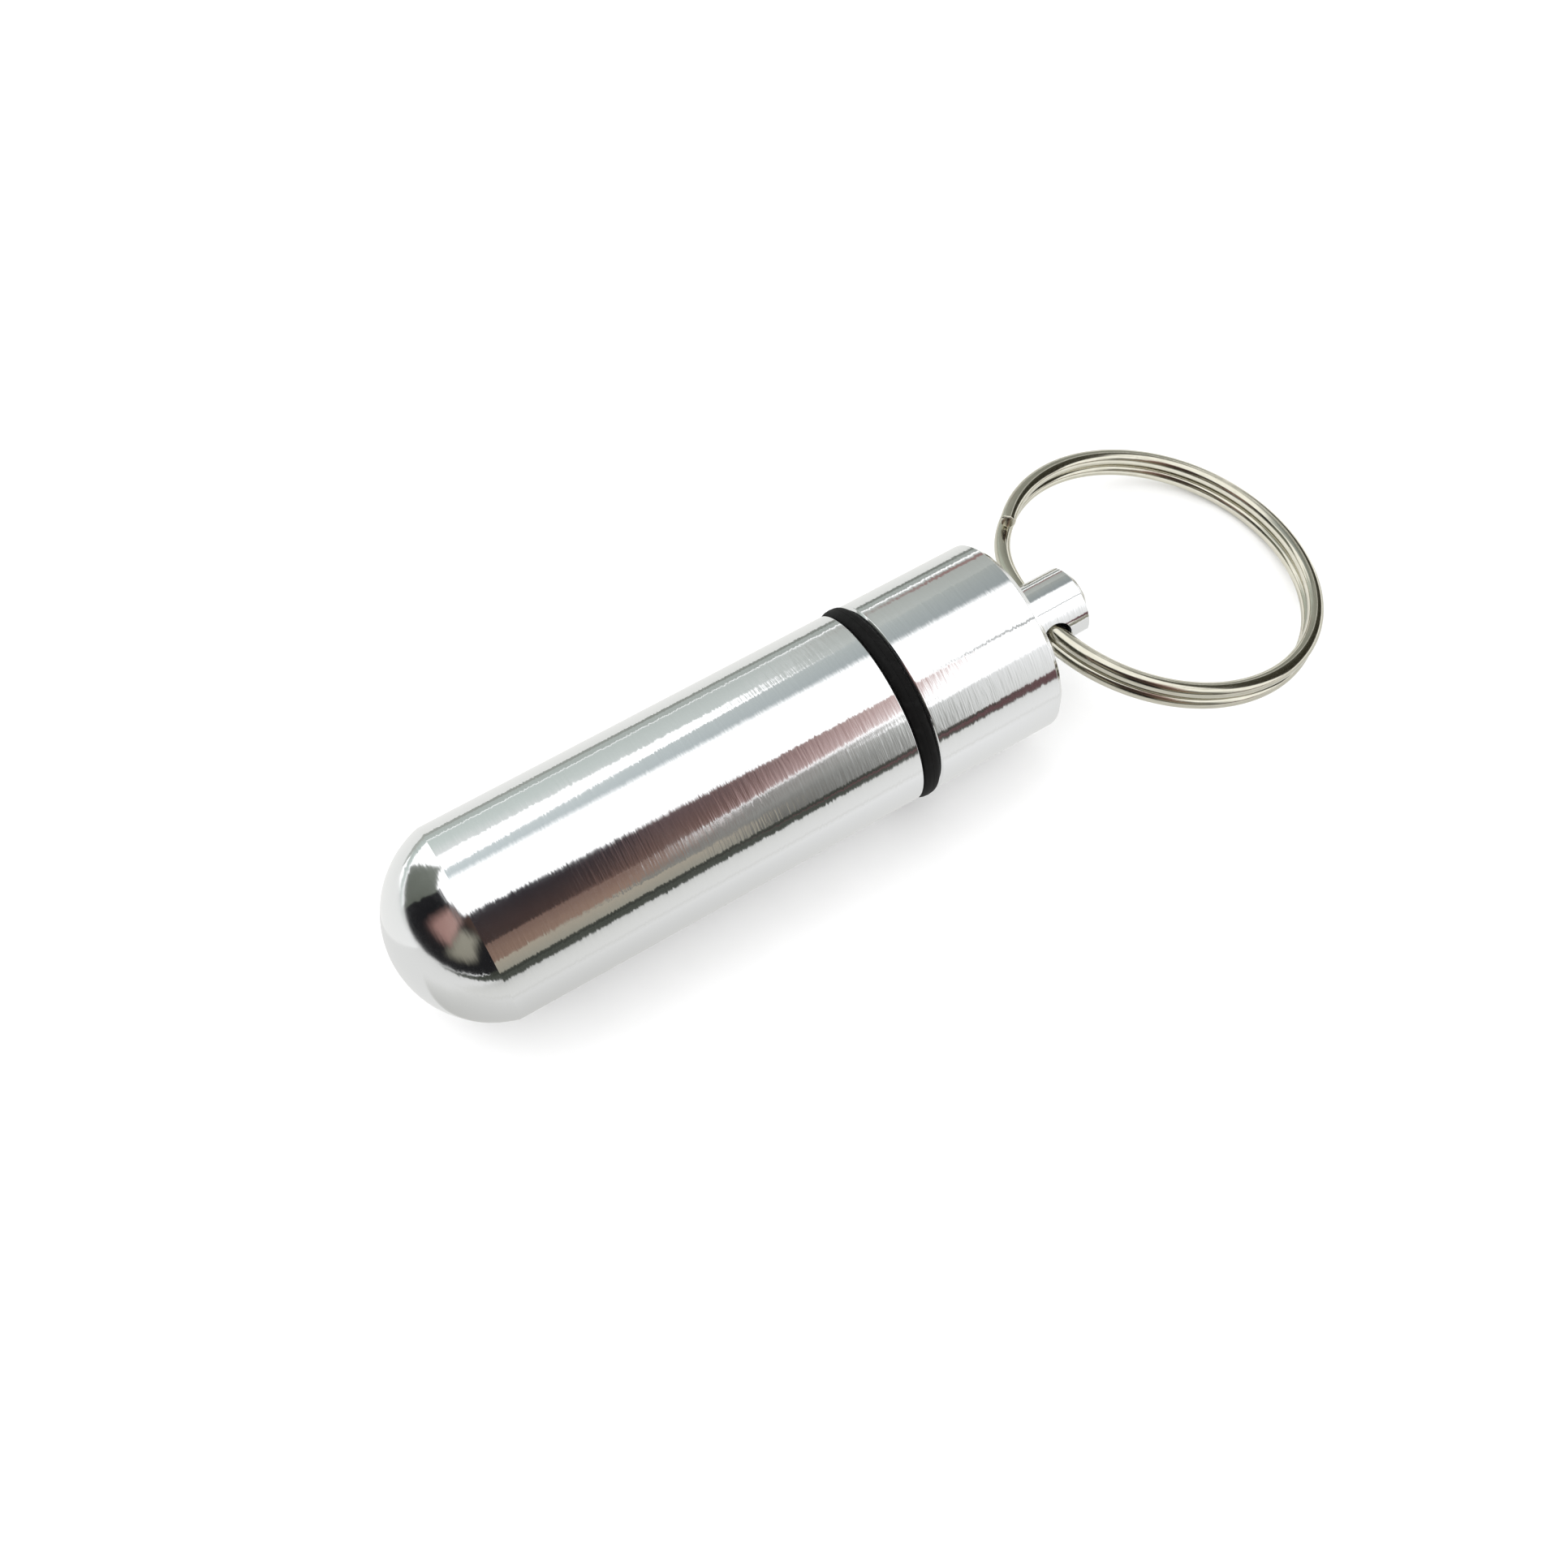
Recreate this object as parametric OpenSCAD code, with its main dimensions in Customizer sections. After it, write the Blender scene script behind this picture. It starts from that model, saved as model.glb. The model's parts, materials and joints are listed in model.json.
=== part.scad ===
// Pill fob keychain: a turned aluminium case with a screw cap, a rubber seal
// between them, and a split ring through a cross hole in the cap's end post.
// It lies on its side: +X runs from the nose of the case to the split ring,
// +Z is up, and the surface that it lies on is at z = 0. All sizes are in mm.

/* [Case] */
// Diameter of the space for the pills
bore_d = 9.4; // [8:0.2:12]
// Length of the case from the tip of its nose to its shoulder
case_len = 36; // [28:1:60]
// Length of the rounded nose
nose_len = 5.4; // [4:0.2:6.4]
// Metal left between the point of the drilled bore and the tip of the nose
nose_wall = 4; // [2.6:0.2:6]
// Full angle of the drill's point
drill_angle = 118; // [100:2:140]
// Wall of the neck between the bore and the root of the thread
neck_wall = 0.7; // [0.5:0.1:1.2]
// Bevel at the open end of the neck
neck_bevel = 0.4; // [0.2:0.05:0.5]
// Bevel on the two edges that pinch the seal
seal_edge = 0.2; // [0.1:0.05:0.3]

/* [Thread] */
// Pitch of the screw thread
thread_pitch = 1; // [0.75:0.25:1.5]
// Height of the thread over its root
thread_depth = 0.6; // [0.4:0.05:0.8]
// Clearance round the crest of the thread
thread_clearance = 0.1; // [0.05:0.05:0.2]

/* [Cap] */
// Length of the cap without its post
cap_len = 10; // [8:0.5:16]
// Wall of the cap round the thread
cap_wall = 0.9; // [0.7:0.1:2]
// Thickness of the cap's closed end
cap_end_wall = 2.8; // [2:0.2:4]
// Gap between the end of the neck and the floor of the cap
neck_end_gap = 0.6; // [0.3:0.1:1]
// Bevel round the far end of the cap
cap_edge = 0.4; // [0.2:0.1:0.8]

/* [Post] */
// Diameter of the post that carries the split ring
post_d = 5; // [4.4:0.2:7]
// Length of the post beyond the cap
post_len = 5.6; // [5:0.2:8]
// Bevel round the end of the post
post_edge = 0.3; // [0.1:0.1:0.6]
// Fillet where the post meets the cap
post_fillet = 0.3; // [0.1:0.1:0.6]
// Diameter of the cross hole
hole_d = 2.5; // [2.4:0.1:3]
// Distance of the hole's axis from the cap's end face
hole_setback = 2.55; // [2.2:0.05:3]
// How far the pill has rolled, which tips the hole's axis from level
hole_tip = 14; // [8:1:16]

/* [Seal] */
// Width of the pinched rubber seal between the case and the cap
seal_width = 1.2; // [1:0.1:2]
// How far the seal stands out past the case
seal_proud = 0.15; // [0.1:0.05:0.4]
// Radius of the seal's outer edges
seal_round = 0.4; // [0.2:0.05:0.5]
// Clearance between the seal and the neck
seal_bore_clearance = 0.05; // [0.02:0.01:0.1]
// Clearance between the seal and each face that it seats on
seal_face_clearance = 0.01; // [0.005:0.005:0.05]

/* [Split ring] */
// Outside diameter of the split ring
ring_d = 24.5; // [20:0.5:34]
// Width of the flattened wire, across the ring
wire_w = 1.2; // [0.9:0.05:1.3]
// Thickness of the flattened wire, along the ring's axis
wire_h = 1.05; // [0.8:0.05:1.2]
// Gap between the two turns
turn_gap = 0.05; // [0.02:0.01:0.2]
// Angle from the hole to the wire's first end, under the wire that leaves the hole
first_end_angle = 18; // [16:1:30]
// Angle from the hole to the wire's second end, on the hole's other side
second_end_angle = 45; // [25:1:80]
// How far the ring leans sideways at rest
ring_lean = 4.5; // [0:0.5:8]

/* [Hidden] */
$fn = 96;

// Diameters, from the bore outwards
neck_d = bore_d + 2 * neck_wall;
thread_d = neck_d + 2 * thread_depth;
cap_bore_d = thread_d + 2 * thread_clearance;
pill_d = cap_bore_d + 2 * cap_wall;
seal_d = pill_d + 2 * seal_proud;

// Places along the pill, from the tip of the nose
bore_point_x = nose_wall;
bore_foot_x = bore_point_x + bore_d / 2 / tan(drill_angle / 2);
shoulder_x = case_len;
cap_mouth_x = shoulder_x + seal_width;
cap_floor_x = cap_mouth_x + cap_len - cap_end_wall;
neck_end_x = cap_floor_x - neck_end_gap;
cap_end_x = cap_mouth_x + cap_len;
hole_x = cap_end_x + hole_setback;
post_end_x = cap_end_x + post_len;
axis_z = seal_d / 2;

// The nose is part of a ball that meets the case at its full diameter
nose_r = (pow(pill_d / 2, 2) + pow(nose_len, 2)) / (2 * nose_len);
overlap = 0.01;

// The split ring: one wire that winds twice round and steps up a layer on its
// way through the hole. Angles run round the ring from its far side.
ring_r = (ring_d - wire_w) / 2;
layer_step = wire_h + turn_gap;
hole_angle = 180;
lower_start = hole_angle + first_end_angle;
climb_start = 360 + hole_angle - second_end_angle;
climb_end = lower_start + 360;
upper_end = climb_start + 360;
wire_steps = 132;
wire_sides = 20;
squareness = 2.6;
end_round = 0.25;

function climb(u) = u * u * (3 - 2 * u);
function share(a) = max(0, min(1, (a - climb_start) / (climb_end - climb_start)));
function layer_z(a) = layer_step * (climb(share(a)) - 0.5);
function power(v) = sign(v) * pow(abs(v), 2 / squareness);
function wire_point(a, side, scale) =
    let (b = 360 * side / wire_sides,
         r = ring_r + scale * wire_w / 2 * power(cos(b)),
         z = layer_z(a) + scale * wire_h / 2 * power(sin(b)))
    [r * cos(a), r * sin(a), z];

// The wire's sections: each end is rounded by two smaller sections
end_step = end_round / ring_r * 180 / PI;
wire_angles = concat(
    [lower_start - end_step, lower_start - end_step / 2],
    [for (i = [0 : wire_steps]) lower_start + (upper_end - lower_start) * i / wire_steps],
    [upper_end + end_step / 2, upper_end + end_step]);
section_count = len(wire_angles);
function end_scale(i) =
    let (n = min(i, section_count - 1 - i))
    n == 0 ? 0.62 : n == 1 ? 0.9 : 1;
wire_points = [
    for (i = [0 : section_count - 1])
        for (side = [0 : wire_sides - 1])
            wire_point(wire_angles[i], side, end_scale(i))];

// The ring's place: its wire passes through the middle of the hole, its plane
// leans sideways, and its far side drops until it rests on the surface
wire_in_hole = [-ring_r, 0, layer_z(360 + hole_angle)];
function turned(p, tilt) =
    let (q = p - wire_in_hole,
         x = q.x * cos(tilt) + q.z * sin(tilt),
         z = q.z * cos(tilt) - q.x * sin(tilt))
    [x,
     q.y * cos(ring_lean) + z * sin(ring_lean),
     z * cos(ring_lean) - q.y * sin(ring_lean)];
function lowest(tilt) = axis_z + min([for (p = wire_points) turned(p, tilt).z]);
function settled(low, high, n) =
    let (mid = (low + high) / 2)
    n == 0 ? mid : lowest(mid) > 0 ? settled(mid, high, n - 1) : settled(low, mid, n - 1);
ring_tilt = settled(0, 60, 12);
ring_points = [
    for (p = wire_points)
        let (t = turned(p, ring_tilt))
        [t.x + hole_x, t.y, t.z + axis_z]];
ring_far_x = max([for (p = ring_points) p.x]);
middle_x = ring_far_x / 2;

// The least gap between the wire's two turns, measured on its own points
lap = [
    for (i = [0 : section_count - 1])
        for (j = [i + 1 : section_count - 1])
            if (wire_angles[j] - wire_angles[i] > 300)
                let (a = layer_z(wire_angles[i]), b = layer_z(wire_angles[j]),
                     along = ring_r * 2 * sin((wire_angles[j] - wire_angles[i]) / 2))
                norm([b - a, along]) - wire_h];
echo(least_gap_between_turns = min(lap));
echo(ring_tilt = ring_tilt);
echo(hole_position = [hole_x - middle_x, 0, axis_z]);
echo(pill_diameter = pill_d);
echo(nose_tip_x = -middle_x);
echo(turns_to_clear_the_neck = (neck_end_x - cap_mouth_x) / thread_pitch);

// Stands a shape that is drawn along +Z on the pill's axis, at its own place
module on_axis(x = 0) {
    translate([x - middle_x, 0, axis_z])
        rotate([0, 90, 0])
            children();
}

// A turned shape: each point is [radius, place along the pill]
module turned_shape(points) {
    rotate_extrude()
        polygon(points);
}

module nose() {
    intersection() {
        translate([0, 0, nose_r])
            sphere(r = nose_r, $fn = 192);
        cylinder(d = pill_d, h = nose_len + overlap);
    }
}

module case_outside() {
    nose();
    turned_shape([
        [0, nose_len],
        [pill_d / 2, nose_len],
        [pill_d / 2, shoulder_x - seal_edge],
        [pill_d / 2 - seal_edge, shoulder_x],
        [neck_d / 2, shoulder_x],
        [neck_d / 2, neck_end_x - neck_bevel],
        [neck_d / 2 - neck_bevel, neck_end_x],
        [0, neck_end_x]]);
}

module drilled_bore() {
    turned_shape([
        [0, bore_point_x],
        [bore_d / 2, bore_foot_x],
        [bore_d / 2, neck_end_x + overlap],
        [0, neck_end_x + overlap]]);
}

module case_body() {
    color("#c9ccd0")
        on_axis()
            difference() {
                case_outside();
                drilled_bore();
            }
}

// The rubber ring, pinched flat between the shoulder and the cap
module o_ring() {
    inner = neck_d / 2 + seal_bore_clearance;
    outer = seal_d / 2;
    low = shoulder_x + seal_face_clearance;
    high = cap_mouth_x - seal_face_clearance;
    round_steps = 6;
    color("#161616")
        on_axis()
            turned_shape(concat(
                [[inner, high], [inner, low]],
                [for (i = [0 : round_steps])
                    let (a = 90 * i / round_steps)
                    [outer - seal_round + seal_round * sin(a),
                     low + seal_round - seal_round * cos(a)]],
                [for (i = [0 : round_steps])
                    let (a = 90 * i / round_steps)
                    [outer - seal_round + seal_round * cos(a),
                     high - seal_round + seal_round * sin(a)]]));
}

module cap_outside() {
    fillet_steps = 5;
    turned_shape(concat(
        [[0, cap_mouth_x],
         [pill_d / 2 - seal_edge, cap_mouth_x],
         [pill_d / 2, cap_mouth_x + seal_edge],
         [pill_d / 2, cap_end_x - cap_edge],
         [pill_d / 2 - cap_edge, cap_end_x]],
        [for (i = [0 : fillet_steps])
            let (a = 90 * i / fillet_steps)
            [post_d / 2 + post_fillet * (1 - sin(a)),
             cap_end_x + post_fillet * (1 - cos(a))]],
        [[post_d / 2, post_end_x - post_edge],
         [post_d / 2 - post_edge, post_end_x],
         [0, post_end_x]]));
}

module cap_inside() {
    turned_shape([
        [0, cap_mouth_x - overlap],
        [cap_bore_d / 2, cap_mouth_x - overlap],
        [cap_bore_d / 2, cap_floor_x],
        [0, cap_floor_x]]);
}

// The cross hole that is drilled through the post
module cross_hole() {
    translate([hole_x - middle_x, 0, axis_z])
        rotate([-90 - hole_tip, 0, 0])
            cylinder(d = hole_d, h = post_d + 2, center = true);
}

module cap() {
    color("#c9ccd0")
        difference() {
            on_axis()
                difference() {
                    cap_outside();
                    cap_inside();
                }
            cross_hole();
        }
}

module split_ring() {
    last = (section_count - 1) * wire_sides;
    walls = [
        for (i = [0 : section_count - 2])
            for (k = [0 : wire_sides - 1])
                let (a = i * wire_sides + k,
                     b = i * wire_sides + (k + 1) % wire_sides)
                each [[a, b, a + wire_sides], [b, b + wire_sides, a + wire_sides]]];
    first_cap = [for (k = [1 : wire_sides - 2]) [0, k + 1, k]];
    last_cap = [for (k = [1 : wire_sides - 2]) [last, last + k, last + k + 1]];
    color("#b9b4a6")
        translate([-middle_x, 0, 0])
            polyhedron(points = ring_points, faces = concat(walls, first_cap, last_cap));
}

case_body();
o_ring();
cap();
split_ring();
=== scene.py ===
import json
from math import acos, cos, floor, pi, radians, sin, sqrt, tan

import bmesh
import bpy
from bpy.props import FloatProperty, FloatVectorProperty, PointerProperty, StringProperty
from mathutils import Matrix, Vector
from mathutils.kdtree import KDTree


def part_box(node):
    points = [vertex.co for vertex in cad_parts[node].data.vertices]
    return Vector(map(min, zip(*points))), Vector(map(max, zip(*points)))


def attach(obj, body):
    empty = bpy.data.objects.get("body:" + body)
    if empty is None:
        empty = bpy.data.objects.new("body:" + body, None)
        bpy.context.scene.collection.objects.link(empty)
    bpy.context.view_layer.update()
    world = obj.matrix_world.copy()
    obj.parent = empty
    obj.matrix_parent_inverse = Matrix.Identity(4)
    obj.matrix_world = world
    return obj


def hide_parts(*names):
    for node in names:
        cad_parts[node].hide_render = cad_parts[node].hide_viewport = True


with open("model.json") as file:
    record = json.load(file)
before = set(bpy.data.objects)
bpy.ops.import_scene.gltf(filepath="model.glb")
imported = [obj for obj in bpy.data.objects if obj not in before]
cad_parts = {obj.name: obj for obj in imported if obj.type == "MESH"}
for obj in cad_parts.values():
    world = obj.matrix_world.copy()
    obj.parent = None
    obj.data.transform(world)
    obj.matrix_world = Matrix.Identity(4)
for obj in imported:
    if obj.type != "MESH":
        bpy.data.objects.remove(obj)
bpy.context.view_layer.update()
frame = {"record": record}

bl_info = {
    "name": "Pill Fob Keychain",
    "version": (1, 0, 0),
    "blender": (4, 5, 0),
    "location": "View3D > Sidebar > Pill Fob",
    "description": "Builds a turned aluminium pill fob with its rubber seal and its split key ring",
    "category": "Add Mesh",
}

# Scene units are metres. Sizes of the fob are given in millimetres.
MM = 0.001
FULL_TURN = 2 * pi

CASE_LOW, CASE_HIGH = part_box("case_body")
CAP_LOW, CAP_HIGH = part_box("cap")
SEAL_LOW, SEAL_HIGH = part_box("o_ring")

# Places along the pill, which lies along X, and the height of its axis
NOSE_TIP = CASE_LOW[0]
NECK_END = CASE_HIGH[0]
CAP_MOUTH = CAP_LOW[0]
POST_END = CAP_HIGH[0]
AXIS_HEIGHT = (CASE_LOW[2] + CASE_HIGH[2]) / 2
PILL_RADIUS = (CASE_HIGH[2] - CASE_LOW[2]) / 2
SEAL_RADIUS = (SEAL_HIGH[2] - SEAL_LOW[2]) / 2
# The middle of the cross hole, where the split ring swings
HOLE_PLACE = next(j["pos_m"] for j in frame["record"]["behaviour"]["joints"] if j["name"] == "ring_swing")


def millimetres(name, description, default):
    """A length property. Its default is given in millimetres."""
    return FloatProperty(name=name, description=description, default=default * MM, precision=5, unit="LENGTH")


def angle(name, description, default):
    """An angle property. Its default is given in degrees."""
    return FloatProperty(name=name, description=description, default=radians(default), subtype="ANGLE")


def hex_colour(name, description, default):
    """A colour property that holds an sRGB hex value."""
    return StringProperty(name=name, description=description, default=default)


class PillSizes(bpy.types.PropertyGroup):
    """Sizes of the turned case and cap."""

    nose_length: millimetres("Nose length", "Length of the rounded nose", 5.4)
    neck_radius: millimetres("Neck radius", "Radius at the root of the neck's thread", 5.4)
    bore_radius: millimetres("Bore radius", "Radius of the space for the pills", 4.7)
    bore_point: millimetres("Bore point", "Distance from the nose's tip to the point of the bore", 4.0)
    drill_angle: angle("Drill angle", "Full angle of the point that the drill leaves", 118)
    shoulder: millimetres("Shoulder", "Distance from the nose's tip to the shoulder", 36.0)
    edge_bevel: millimetres("Edge bevel", "Bevel on the two edges that pinch the seal", 0.2)
    neck_bevel: millimetres("Neck bevel", "Bevel at the open end of the neck", 0.4)
    edge_radius: millimetres("Edge radius", "Rounding that polishing leaves on every turned edge", 0.05)
    cap_length: millimetres("Cap length", "Length of the cap without its post", 10.0)
    cap_floor: millimetres("Cap end wall", "Thickness of the cap's closed end", 2.8)
    cap_bevel: millimetres("Cap bevel", "Bevel round the far end of the cap", 0.4)
    cap_bore: millimetres("Cap bore radius", "Radius at the root of the cap's thread", 6.1)
    cap_mouth_bevel: millimetres("Cap mouth bevel", "Bevel inside the cap's open end", 0.3)
    post_radius: millimetres("Post radius", "Radius of the post that carries the split ring", 2.5)
    post_bevel: millimetres("Post bevel", "Bevel round the end of the post", 0.3)
    post_fillet: millimetres("Post fillet", "Fillet where the post meets the cap", 0.3)
    hole_radius: millimetres("Hole radius", "Radius of the cross hole through the post", 1.312)
    hole_tip: angle("Hole tip", "How far the hole's axis is tipped from level", 9)
    hole_chamfer: millimetres("Hole chamfer", "Chamfer at both mouths of the cross hole", 0.1)


class ThreadSizes(bpy.types.PropertyGroup):
    """Sizes of the screw thread between case and cap."""

    pitch: millimetres("Pitch", "Travel of the cap in one turn", 1.0)
    depth: millimetres("Depth", "Height of the thread over its root", 0.6)
    crest: millimetres("Crest", "Width of the thread's flat crest", 0.125)
    flank_angle: angle("Flank angle", "Angle of each flank from square to the axis", 30)
    start: millimetres("Start", "Distance from the shoulder to the first ridge", 1.4)
    run_out: millimetres("Run-out", "Length over which the thread fades away", 0.5)


class SealSizes(bpy.types.PropertyGroup):
    """Sizes of the rubber seal."""

    inner_radius: millimetres("Inner radius", "Radius of the seal's hole", 5.45)
    edge_radius: millimetres("Edge radius", "Radius of the seal's outer edges", 0.4)
    mould_line: millimetres("Mould line", "Height of the fine line that the mould leaves", 0.02)


class RingSizes(bpy.types.PropertyGroup):
    """Sizes of the split ring."""

    diameter: millimetres("Diameter", "Outside diameter of the split ring", 24.452)
    wire_width: millimetres("Wire width", "Width of the wire, across the ring", 1.16)
    wire_height: millimetres("Wire height", "Thickness of the wire, along the ring's axis", 1.05)
    turn_gap: millimetres("Turn gap", "Gap between the two turns", 0.05)
    first_end: angle("First end", "Angle from the hole's middle to the wire's first end, inside it", 7)
    second_end: angle("Second end", "Angle from the hole to the wire's second end", 45)
    lean: angle("Lean", "How far the ring leans sideways", 4.5)
    squareness: FloatProperty(
        name="Squareness",
        description="Exponent of the wire's section, where 2 is an oval",
        default=2.15,
        min=2,
        max=6,
    )


class FinishColours(bpy.types.PropertyGroup):
    """Colours of the finishes, as sRGB hex values."""

    aluminium: hex_colour("Aluminium", "Bare aluminium seen straight on", "#EFF0F1")
    rubber: hex_colour("Rubber", "Black rubber", "#060606")
    dusty_rubber: hex_colour("Dusty rubber", "Rubber where dust clings to it", "#303030")
    nickel: hex_colour("Nickel", "Nickel plate on steel", "#D8D5C8")
    worn_nickel: hex_colour("Worn nickel", "Nickel plate where it is rubbed", "#BFBCAC")
    floor: hex_colour("Floor", "Pale floor", "#F2F2F2")
    floor_fibres: hex_colour("Floor fibres", "Paler fibres in the floor's paper", "#F5F5F5")


class StageSettings(bpy.types.PropertyGroup):
    """Camera, light and floor."""

    camera_place: FloatVectorProperty(
        name="Camera place",
        description="Where the camera stands",
        default=(-35.15 * MM, -47.46 * MM, 114.39 * MM),
        subtype="TRANSLATION",
        unit="LENGTH",
    )
    camera_azimuth: angle("Azimuth", "Direction that the camera looks in, round the object", -30.323)
    camera_elevation: angle("Elevation", "How steeply the camera looks down", 63.826)
    camera_roll: angle("Roll", "How far the camera is rolled", -0.848)
    focal_length: FloatProperty(
        name="Focal length", description="Focal length on a 36 mm sensor", default=41.0, min=10, unit="CAMERA"
    )
    sky: FloatProperty(name="Sky", description="Brightness of the white room", default=1.45, min=0)
    light_place: FloatVectorProperty(
        name="Light place",
        description="Where the soft light hangs",
        default=(-0.15, 0.25, 0.5),
        subtype="TRANSLATION",
        unit="LENGTH",
    )
    light_size: FloatProperty(
        name="Light size", description="Diameter of the soft light", default=0.5, unit="LENGTH"
    )
    light_power: FloatProperty(
        name="Light power", description="Power of the soft light", default=0.6, unit="POWER"
    )
    floor_size: FloatProperty(name="Floor size", description="Side of the floor", default=4.0, unit="LENGTH")


def linear(hex_value):
    """Turns an sRGB hex value into a linear colour with alpha, by the standard's own curve."""
    channels = [int(hex_value.lstrip("#")[i : i + 2], 16) / 255 for i in (0, 2, 4)]
    return tuple(c / 12.92 if c <= 0.04045 else ((c + 0.055) / 1.055) ** 2.4 for c in channels) + (1.0,)


def add(tree, kind, inputs=None, **settings):
    """Adds a node with its settings. Each input is a value, or a socket to link from."""
    made = tree.nodes.new(kind)
    for name, value in settings.items():
        setattr(made, name, value)
    for name, value in (inputs or {}).items():
        if isinstance(value, bpy.types.NodeSocket):
            tree.links.new(value, made.inputs[name])
        else:
            made.inputs[name].default_value = value
    return made


def new_material(name):
    """An empty material, with its node tree and its output's surface socket."""
    material = bpy.data.materials.new(name)
    material.use_nodes = True
    tree = material.node_tree
    tree.nodes.clear()
    out = tree.nodes.new("ShaderNodeOutputMaterial")
    return material, tree, out.inputs["Surface"]


def turned_aluminium():
    """Aluminium 6061, turned on a lathe and polished by hand.

    The tool leaves fine rings round the axis. They smear every reflection along the pill and keep it
    sharp across it, and they make the edges of dark reflections ragged. Handling leaves a few tiny pits.
    """
    colours = bpy.context.scene.fob_colours
    material, tree, surface = new_material("turned_aluminium_6061")
    place = add(tree, "ShaderNodeTexCoord").outputs["Object"]
    split = add(tree, "ShaderNodeSeparateXYZ", {0: place})
    side = split.outputs["Y"]
    height = add(
        tree, "ShaderNodeMath", {0: split.outputs["Z"], 1: AXIS_HEIGHT}, operation="SUBTRACT"
    ).outputs[0]
    square_y = add(tree, "ShaderNodeMath", {0: side, 1: 2.0}, operation="POWER").outputs[0]
    square_z = add(tree, "ShaderNodeMath", {0: height, 1: 2.0}, operation="POWER").outputs[0]
    square = add(tree, "ShaderNodeMath", {0: square_y, 1: square_z}, operation="ADD").outputs[0]
    radius = add(tree, "ShaderNodeMath", {0: square}, operation="SQRT").outputs[0]
    # The tool's path runs along the pill, and inwards over its faces, where its rings lie a little wider
    inwards = -0.8
    path = add(
        tree, "ShaderNodeMath", {0: radius, 1: inwards, 2: split.outputs["X"]}, operation="MULTIPLY_ADD"
    ).outputs[0]

    def rings(spacing, reach, detail):
        """Noise in rings, spacing apart along the tool's path, that change over reach round the pill."""
        along = add(tree, "ShaderNodeMath", {0: path, 1: 1 / (spacing * MM)}, operation="MULTIPLY").outputs[0]
        across = add(tree, "ShaderNodeMath", {0: side, 1: 1 / (reach * MM)}, operation="MULTIPLY")
        upward = add(tree, "ShaderNodeMath", {0: height, 1: 1 / (reach * MM)}, operation="MULTIPLY")
        where = add(tree, "ShaderNodeCombineXYZ", {0: along, 1: across.outputs[0], 2: upward.outputs[0]})
        return add(
            tree,
            "ShaderNodeTexNoise",
            {"Vector": where.outputs[0], "Scale": 1.0, "Detail": detail, "Roughness": 0.6},
        ).outputs["Fac"]

    # Sizes in millimetres. Feed marks are 0.05 apart on such a part, drawn at 0.16 so that they show. The
    # chatter and the wobble come from the same pass of the tool, and the hand polish lies in patches
    feed_marks = rings(spacing=0.16, reach=6.0, detail=2.0)
    chatter = rings(spacing=0.45, reach=1.8, detail=2.0)
    wobble = rings(spacing=0.13, reach=1.4, detail=1.0)
    hand_polish = rings(spacing=5.0, reach=4.0, detail=2.0)

    # Pits about 0.1 mm wide, in about one cell of thirty
    pit_grid = 1.6 * MM
    pit_bottom, pit_edge = 0.032 * MM, 0.08 * MM
    pit_share = 0.035
    pit_cells = add(tree, "ShaderNodeTexVoronoi", {"Vector": place, "Scale": 1 / pit_grid, "Randomness": 1.0})
    pit_draw = add(tree, "ShaderNodeSeparateColor", {0: pit_cells.outputs["Color"]}).outputs["Red"]
    chosen = add(tree, "ShaderNodeMath", {0: pit_draw, 1: 1 - pit_share}, operation="GREATER_THAN").outputs[0]
    depth = add(
        tree,
        "ShaderNodeMapRange",
        {
            "Value": pit_cells.outputs["Distance"],
            "From Min": pit_bottom / pit_grid,
            "From Max": pit_edge / pit_grid,
            "To Min": 1.0,
            "To Max": 0.0,
        },
        interpolation_type="SMOOTHSTEP",
    ).outputs["Result"]
    pits = add(tree, "ShaderNodeMath", {0: chosen, 1: depth}, operation="MULTIPLY").outputs[0]

    # The tool's wobble tips the surface round the axis, by up to about a degree. The range is in radians and
    # belongs to the whole of the noise. round_axis is as long as the radius, hence the division.
    tip_range = 0.055
    centred = add(tree, "ShaderNodeMath", {0: wobble, 1: 0.5}, operation="SUBTRACT").outputs[0]
    tip_angle = add(tree, "ShaderNodeMath", {0: centred, 1: tip_range}, operation="MULTIPLY").outputs[0]
    tip_rate = add(tree, "ShaderNodeMath", {0: tip_angle, 1: radius}, operation="DIVIDE").outputs[0]
    backward = add(tree, "ShaderNodeMath", {0: height, 1: -1.0}, operation="MULTIPLY").outputs[0]
    round_axis = add(tree, "ShaderNodeCombineXYZ", {1: backward, 2: side}).outputs[0]
    tipping = add(
        tree, "ShaderNodeVectorMath", {0: round_axis, "Scale": tip_rate}, operation="SCALE"
    ).outputs[0]
    straight = add(tree, "ShaderNodeNewGeometry").outputs["Normal"]
    normal = add(tree, "ShaderNodeVectorMath", {0: straight, 1: tipping}, operation="ADD").outputs[0]
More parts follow.
